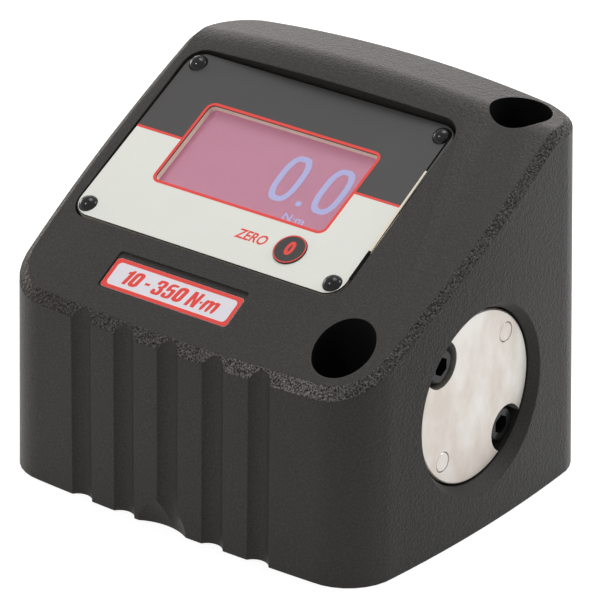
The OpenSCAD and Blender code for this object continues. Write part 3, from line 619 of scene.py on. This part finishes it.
def film(name, outer, holes, place, low, high, look, body):
    """A thin plate with holes, from low to high over the plane of place, in millimetres."""
    bm = bmesh.new()
    edges = []
    for loop in [outer, *holes]:
        verts = [bm.verts.new((x * MM, y * MM, low * MM)) for x, y in loop]
        edges += [bm.edges.new((verts[i], verts[(i + 1) % len(verts)])) for i in range(len(verts))]
    bmesh.ops.triangle_fill(bm, use_beauty=True, use_dissolve=False, edges=edges)
    for face in bm.faces:
        if face.normal.z < 0:
            face.normal_flip()
    raised = bmesh.ops.extrude_face_region(bm, geom=list(bm.faces))
    moved = [v for v in raised["geom"] if isinstance(v, bmesh.types.BMVert)]
    bmesh.ops.translate(bm, verts=moved, vec=(0, 0, (high - low) * MM))
    bmesh.ops.recalc_face_normals(bm, faces=bm.faces)
    bmesh.ops.transform(bm, matrix=place, verts=bm.verts)
    mesh = bpy.data.meshes.new(name)
    bm.to_mesh(mesh)
    bm.free()
    return new_piece(name, mesh, look, body)


# Thickness of the print, how far it is sunk in, and the places of its edges on the panel
PRINT_T = 0.03
PRINT_SUNK = 0.01
PRINT_STEP = 0.01
PANEL_MARGIN = 0.15
SCREW_HOLE_R = 2.2
FRAME_LINE = 0.95
FRAME_GAP = 0.03
FRAME_LAP = 0.5
DIVIDER_V = 1.9
DIVIDER_LINE = 0.85
DIVIDER_LAP = 0.3
DIVIDER_LOW = DIVIDER_V - DIVIDER_LINE / 2
DIVIDER_HIGH = DIVIDER_V + DIVIDER_LINE / 2
KEY_GAP = 0.1
KEY_RING_OUT = KEY_R - 0.05
KEY_RING_IN = KEY_R - 0.42
KEY_SIGN_AT = (KEY_U - 0.05, KEY_V)
CAPTION_AT = (11.1, -22.1)


def from_right(points, along_edge):
    """An outline turned to start at the right end of its edge under the divider.

    It goes on along that edge or, with along_edge false, ends with it.
    """
    on_edge = [p for p in points if abs(p[1] - DIVIDER_LOW) < TINY]
    start = points.index(max(on_edge, key=lambda p: p[0]))
    turned = points[start:] + points[:start]
    if (abs(turned[1][1] - DIVIDER_LOW) < TINY) != along_edge:
        turned = turned[:1] + turned[1:][::-1]
    return turned


def panel_print():
    """The white field, the red lines and the ring on the key."""
    edge = rounded(PANEL_W - 2 * PANEL_MARGIN, PANEL_L - 2 * PANEL_MARGIN, PANEL_R - PANEL_MARGIN)
    frame_outer = rounded(
        WINDOW_W + 2 * FRAME_LINE, WINDOW_L + 2 * FRAME_LINE, WINDOW_R + FRAME_LINE, (0, WINDOW_V)
    )
    frame_inner = rounded(
        WINDOW_W + 2 * FRAME_GAP, WINDOW_L + 2 * FRAME_GAP, WINDOW_R, (0, WINDOW_V)
    )
    film(
        "window_frame_print", frame_outer, [frame_inner], PANEL, -PRINT_SUNK,
        PRINT_T + 2 * PRINT_STEP, RED, "casing",
    )
    # The white field ends under the divider, and the window's lower part notches that edge
    window = rounded(WINDOW_W + 2 * FRAME_LAP, WINDOW_L + 2 * FRAME_LAP, WINDOW_R, (0, WINDOW_V))
    field = from_right(clipped(edge, lambda p: DIVIDER_LOW - p[1]), True)
    field[1:1] = from_right(clipped(window, lambda p: DIVIDER_LOW - p[1]), False)
    screw_holes = [circle(SCREW_HOLE_R, (u * SCREW_U, -SCREW_V), 32) for u in (-1, 1)]
    key_hole = circle(KEY_R + KEY_GAP, (KEY_U, KEY_V))
    film(
        "lower_field_print", field, [*screw_holes, key_hole],
        PANEL, -PRINT_SUNK, PRINT_T, WHITE, "casing",
    )
    outer_u = PANEL_W / 2 - PANEL_MARGIN
    inner_u = WINDOW_W / 2 + FRAME_LINE - DIVIDER_LAP
    for side, name in ((-1, "left"), (1, "right")):
        u0, u1 = sorted((side * inner_u, side * outer_u))
        line = [(u0, DIVIDER_LOW), (u1, DIVIDER_LOW), (u1, DIVIDER_HIGH), (u0, DIVIDER_HIGH)]
        film(
            "divider_print_" + name, line, [], PANEL, -PRINT_SUNK, PRINT_T + PRINT_STEP,
            RED, "casing",
        )
    film(
        "key_ring_print", circle(KEY_RING_OUT, (KEY_U, KEY_V)),
        [circle(KEY_RING_IN, (KEY_U, KEY_V))], PANEL,
        KEY_PROUD - PRINT_SUNK, KEY_PROUD + PRINT_T, RED, "key",
    )


panel_print()


def lettering(name, text, size_mm, look, body, base, at, width, weight, slant=0.0):
    """Raised generic lettering over the panel, centred on its place."""
    curve = bpy.data.curves.new(name, "FONT")
    curve.body = text
    curve.size = size_mm * MM
    curve.align_x = "CENTER"
    curve.align_y = "CENTER"
    curve.shear = slant
    curve.offset = weight * MM
    curve.extrude = PRINT_T / 2 * MM
    curve.resolution_u = 8
    holder = bpy.data.objects.new(name + "_curve", curve)
    bpy.context.scene.collection.objects.link(holder)
    bpy.context.view_layer.update()
    dg = bpy.context.evaluated_depsgraph_get()
    mesh = bpy.data.meshes.new_from_object(holder.evaluated_get(dg))
    bpy.data.objects.remove(holder)
    mesh.name = name
    lift = Matrix.Translation(Vector((at[0], at[1], base + PRINT_T / 2)) * MM)
    mesh.transform(PANEL @ lift @ Matrix.Diagonal((width, 1, 1, 1)))
    new_piece(name, mesh, look, body)


lettering(
    "key_zero", "0", 6.0, RED, "key",
    base=KEY_PROUD - PRINT_SUNK, at=KEY_SIGN_AT, width=0.83, weight=0.34,
)
lettering(
    "key_caption", "ZERO", 4.6, RED, "casing",
    base=PRINT_T - PRINT_SUNK, at=CAPTION_AT, width=0.86, weight=0.1, slant=0.18,
)


def rounded_off(points):
    """Corner cutting, twice over, for the round letters."""
    for _ in range(2):
        cut = []
        for i, a in enumerate(points):
            b = points[(i + 1) % len(points)]
            cut.append((0.75 * a[0] + 0.25 * b[0], 0.75 * a[1] + 0.25 * b[1]))
            cut.append((0.25 * a[0] + 0.75 * b[0], 0.25 * a[1] + 0.75 * b[1]))
        points = cut
    return points


# Heavy condensed letters on a cell one unit high: width, outline, holes, round or not
LETTERS = {
    "1": (0.31, [(0.1, 0), (0.31, 0), (0.31, 1), (0.16, 1), (0.12, 0.9), (0, 0.85), (0, 0.7),
                 (0.1, 0.72)], [], False),
    "0": (0.53, rounded(0.53, 1.0, 0.22, (0.265, 0.5)),
          [rounded(0.1, 0.6, 0.049, (0.265, 0.5))], False),
    "3": (0.53, [(0, 0.66), (0, 0.84), (0.06, 1.0), (0.47, 1.0), (0.53, 0.84), (0.53, 0.62),
                 (0.44, 0.52), (0.53, 0.42), (0.53, 0.12), (0.45, 0), (0.08, 0), (0, 0.12),
                 (0, 0.34), (0.2, 0.34), (0.2, 0.16), (0.33, 0.16), (0.33, 0.45), (0.17, 0.45),
                 (0.17, 0.6), (0.33, 0.6), (0.33, 0.85), (0.2, 0.85), (0.2, 0.66)], [], True),
    "5": (0.53, [(0.03, 1), (0.5, 1), (0.5, 0.85), (0.21, 0.85), (0.2, 0.64), (0.45, 0.7),
                 (0.53, 0.6), (0.53, 0.12), (0.45, 0), (0.08, 0), (0, 0.12), (0, 0.33),
                 (0.2, 0.33), (0.2, 0.15), (0.33, 0.15), (0.33, 0.54), (0.2, 0.54), (0.2, 0.46),
                 (0.02, 0.46)], [], True),
    "N": (0.56, [(0, 0), (0, 1), (0.2, 1), (0.37, 0.46), (0.37, 1), (0.56, 1), (0.56, 0),
                 (0.37, 0), (0.19, 0.54), (0.19, 0)], [], False),
    "m": (0.82, [(0, 0), (0, 0.75), (0.18, 0.75), (0.18, 0.68), (0.26, 0.77), (0.42, 0.77),
                 (0.48, 0.68), (0.56, 0.77), (0.76, 0.77), (0.82, 0.66), (0.82, 0), (0.63, 0),
                 (0.63, 0.6), (0.51, 0.6), (0.51, 0), (0.32, 0), (0.32, 0.6), (0.19, 0.6),
                 (0.19, 0)], [], True),
    "-": (0.26, [(0, 0.38), (0.26, 0.38), (0.26, 0.53), (0, 0.53)], [], False),
    ".": (0.12, [(0, 0.38), (0.12, 0.38), (0.12, 0.52), (0, 0.52)], [], False),
}
LETTER_GAP = 0.075
WORD_GAP = 0.2
LETTER_LEAN = 0.17


def heavy_lettering(name, text, place, height, width, at, low, high, look, body):
    """Heavy leaning letters, fitted into a width and centred at a place."""
    x = 0
    placed = []
    for sign in text:
        if sign == " ":
            x += WORD_GAP
            continue
        letter_w, outer, holes, soft = LETTERS[sign]
        if soft:
            outer = rounded_off(outer)
        placed.append((x, outer, holes))
        x += letter_w + LETTER_GAP
    total = x - LETTER_GAP
    scale = width / (total + LETTER_LEAN)
    for i, (start, outer, holes) in enumerate(placed):
        loops = [
            [
                (
                    at[0] + (start + px + LETTER_LEAN * (py - 0.5) - total / 2) * scale,
                    at[1] + (py - 0.5) * height,
                )
                for px, py in loop
            ]
            for loop in (outer, *holes)
        ]
        film(f"{name}_{i}", loops[0], loops[1:], place, low, high, look, body)


LABEL_AT = (LABEL_X, LABEL_V)
LABEL_R = 1.2
BORDER_MARGIN = 0.05
BORDER_W = 1.3
BORDER_L = 1.25
BORDER_HOLE_R = 1.3
SIGN_H = 5.1
SIGN_W = 33.8


def range_label():
    """The label's plate, its red border and the range."""
    plate = film(
        "label_plate", rounded(LABEL_W, LABEL_L, LABEL_R, LABEL_AT), [], SLOPE_FRAME,
        LABEL_TOP - LABEL_T, LABEL_TOP, LABEL_WHITE, "casing",
    )
    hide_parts("range_label")
    border = rounded(
        LABEL_W - 2 * BORDER_MARGIN, LABEL_L - 2 * BORDER_MARGIN, LABEL_R - BORDER_MARGIN, LABEL_AT
    )
    border_hole = rounded(
        LABEL_W - 2 * BORDER_W, LABEL_L - 2 * BORDER_L, BORDER_HOLE_R, LABEL_AT
    )
    film(
        "label_border_print", border, [border_hole], SLOPE_FRAME,
        LABEL_TOP - PRINT_SUNK, LABEL_TOP + PRINT_T, RED, "casing",
    )
    heavy_lettering(
        "label_sign", "10 - 350 N.m", SLOPE_FRAME, SIGN_H, SIGN_W, LABEL_AT,
        LABEL_TOP - PRINT_SUNK, LABEL_TOP + PRINT_T, RED, "casing",
    )


range_label()


def superellipse(width, height, centre):
    """A rounded digit outline, between an ellipse and a rectangle."""
    power = 2.7
    steps = 56
    points = []
    for i in range(steps):
        a = 2 * math.pi * i / steps
        x = math.copysign(abs(math.cos(a)) ** (2 / power), math.cos(a))
        y = math.copysign(abs(math.sin(a)) ** (2 / power), math.sin(a))
        points.append((centre[0] + width / 2 * x, centre[1] + height / 2 * y))
    return points


DIGITS_AT = ((7.1, 1.9), (22.1, 1.9))
DIGIT_OUTER = (8.4, 16.8)
DIGIT_INNER = (4.7, 13.1)
POINT_AT = (14.8, -5.2)
POINT_W = 1.7
POINT_R = 0.4
UNIT_AT = (16.7, -10.5)


def display():
    """Digits, point and unit of the reading, on the display's face."""
    low, high = LCD_N - PRINT_SUNK, LCD_N + PRINT_T
    for i, centre in enumerate(DIGITS_AT):
        film(
            f"reading_{i}", superellipse(*DIGIT_OUTER, centre),
            [superellipse(*DIGIT_INNER, centre)], PANEL, low, high,
            SEGMENT, "casing",
        )
    film(
        "reading_point", rounded(POINT_W, POINT_W, POINT_R, POINT_AT), [], PANEL, low, high,
        SEGMENT, "casing",
    )
    lettering(
        "unit", "N·m", 3.4, SEGMENT, "casing",
        base=low, at=UNIT_AT, width=1.25, weight=0.06,
    )


display()

EDGE_STEPS = 24
EDGE_LIFT = 0.03
EDGE_T = 0.15
TAB_LOW = -15.4
TAB_HIGH = 13.6
GAP_SHADE_REACH = 25.5


def edge_strip(name, u0, ends, v0, v1, look):
    """A thin strip along the panel's right edge, laid on the higher of panel and casting.

    ends are its outer u at the low end and at the high end.
    """
    bm = bmesh.new()
    rows = []
    for i in range(EDGE_STEPS + 1):
        v = v0 + (v1 - v0) * i / EDGE_STEPS
        row = []
        for u in (u0, ends[0] + (ends[1] - ends[0]) * i / EDGE_STEPS):
            at = PANEL @ (Vector((u, v, 0.0)) * MM)
            on_casting = top_z(at.x / MM, at.y / MM) * MM
            row.append(bm.verts.new((at.x, at.y, max(at.z, on_casting) + EDGE_LIFT * MM)))
        rows.append(row)
    faces = [bm.faces.new((a, b, d, c)) for (a, b), (c, d) in zip(rows, rows[1:])]
    raised = bmesh.ops.extrude_face_region(bm, geom=faces)
    moved = [v for v in raised["geom"] if isinstance(v, bmesh.types.BMVert)]
    bmesh.ops.translate(bm, verts=moved, vec=(0, 0, -EDGE_T * MM))
    bmesh.ops.recalc_face_normals(bm, faces=bm.faces)
    mesh = bpy.data.meshes.new(name)
    bm.to_mesh(mesh)
    bm.free()
    new_piece(name, mesh, look, "casing")


edge_strip("tab_edge", 46.98, (47.85, 47.55), TAB_LOW, TAB_HIGH, BOARD)
# Near-black strips of painted shade over the gap at the panel's right edge, below and above the
# tab
edge_strip("gap_shade_low", 47.02, (47.8, 47.9), -GAP_SHADE_REACH, TAB_LOW, GAP_SHADE)
edge_strip("gap_shade_high", 47.02, (47.5, 47.6), TAB_HIGH, GAP_SHADE_REACH, GAP_SHADE)


# Floor, lights and camera
FLOOR_Z = -0.2
FLOOR_HALF = 3.0
FLOOR_GLOW = 0.8
AMBIENT = 0.3


def seen_rays(tree):
    """1 for rays from the camera, a glossy surface or a clear one, else 0."""
    path = tree.nodes.new("ShaderNodeLightPath")
    seen = path.outputs["Is Camera Ray"]
    for kind in ("Is Glossy Ray", "Is Transmission Ray"):
        either = tree.nodes.new("ShaderNodeMath")
        either.operation = "MAXIMUM"
        tree.links.new(seen, either.inputs[0])
        tree.links.new(path.outputs[kind], either.inputs[1])
        seen = either.outputs[0]
    return seen


def backdrop():
    """A grey floor that looks white to the camera and in reflections."""
    mesh = bpy.data.meshes.new("floor")
    bm = bmesh.new()
    bmesh.ops.create_grid(bm, x_segments=8, y_segments=8, size=FLOOR_HALF)
    bm.to_mesh(mesh)
    bm.free()
    floor = bpy.data.objects.new("floor", mesh)
    floor.location = (0, 0, FLOOR_Z * MM)
    bpy.context.scene.collection.objects.link(floor)
    t = Tree("floor_white")
    t.set(Base_Color=(0.5, 0.5, 0.5), Roughness=0.9, Specular_IOR_Level=0.0)
    glow = t.node("ShaderNodeEmission")
    t.link(t.math("MULTIPLY", seen_rays(t.tree), FLOOR_GLOW), glow.inputs["Strength"])
    add = t.node("ShaderNodeAddShader")
    t.link(t.shader.outputs[0], add.inputs[0])
    t.link(glow.outputs[0], add.inputs[1])
    t.link(add.outputs[0], t.tree.nodes["Material Output"].inputs["Surface"])
    mesh.materials.append(t.material)


backdrop()


def studio():
    """Surroundings that are white to the camera and in reflections, and dimmer as a light."""
    world = bpy.data.worlds.new("studio")
    world.use_nodes = True
    bpy.context.scene.world = world
    sky = world.node_tree
    level = sky.nodes.new("ShaderNodeMapRange")
    level.inputs["To Min"].default_value = AMBIENT
    level.inputs["To Max"].default_value = 1.0
    sky.links.new(seen_rays(sky), level.inputs["Value"])
    background = sky.nodes["Background"]
    background.inputs["Color"].default_value = (1, 1, 1, 1)
    sky.links.new(level.outputs["Result"], background.inputs["Strength"])


studio()

LAMPS_AIM = (0, 0, 50)


def way_to(azimuth, elevation):
    """Direction in which something stands, seen from the object; azimuth 0 is the front."""
    flat = math.cos(elevation)
    return Vector((math.sin(azimuth) * flat, -math.cos(azimuth) * flat, math.sin(elevation)))


def lamp(name, azimuth, elevation, distance, size, power, tint=(1.0, 1.0, 1.0)):
    """A rectangle of light that faces the object; angles in degrees, lengths in metres."""
    light = bpy.data.lights.new(name, "AREA")
    light.shape = "RECTANGLE"
    light.size, light.size_y = size
    light.energy = power
    light.color = tint
    way = way_to(math.radians(azimuth), math.radians(elevation))
    made = bpy.data.objects.new(name, light)
    made.location = Vector(LAMPS_AIM) * MM + way * distance
    made.rotation_euler = way.to_track_quat("Z", "Y").to_euler()
    bpy.context.scene.collection.objects.link(made)


lamp("left_light", -95, 6, 1.0, (0.4, 0.4), 3.2, (1.0, 0.88, 0.8))
lamp("front_light", -18, 41, 1.0, (0.14, 0.1), 2.4)
lamp("top_light", 175, 76, 1.0, (0.5, 0.5), 5.3)
lamp("side_light", 138, 34, 0.6, (0.2, 0.12), 0.75)
lamp("strip_light", 217, 17, 1.0, (0.9, 0.2), 1.9, (1.0, 0.94, 0.9))


# Fit of the camera to the photograph: degrees, millimetres, and pixels of the photograph
CAMERA_ANGLES = (37.798, 25.126, 0.13)
CAMERA_AIM = (1.284, 1.051, 50.105)
CAMERA_DISTANCE = 1263.334
FOCAL_PIXELS = 4506.954
PHOTO_PIXELS = 600
SENSOR_W = 36.0


def photo_camera():
    azimuth, elevation, roll = (math.radians(v) for v in CAMERA_ANGLES)
    back = way_to(azimuth, elevation)
    right = Vector((math.cos(azimuth), math.sin(azimuth), 0))
    up = back.cross(right)
    side = right * math.cos(roll) + up * math.sin(roll)
    top = up * math.cos(roll) - right * math.sin(roll)
    data = bpy.data.cameras.new("photo_camera")
    data.sensor_fit = "HORIZONTAL"
    data.sensor_width = SENSOR_W
    data.lens = SENSOR_W * FOCAL_PIXELS / PHOTO_PIXELS
    data.clip_start = 0.01
    data.clip_end = 20
    camera = bpy.data.objects.new("photo_camera", data)
    target = Vector(CAMERA_AIM) * MM
    place = Matrix((side, top, back)).transposed().to_4x4()
    place.translation = target + back * CAMERA_DISTANCE * MM
    camera.matrix_world = place
    bpy.context.scene.collection.objects.link(camera)
    bpy.context.scene.camera = camera


photo_camera()
bpy.context.scene.view_settings.view_transform = "Standard"
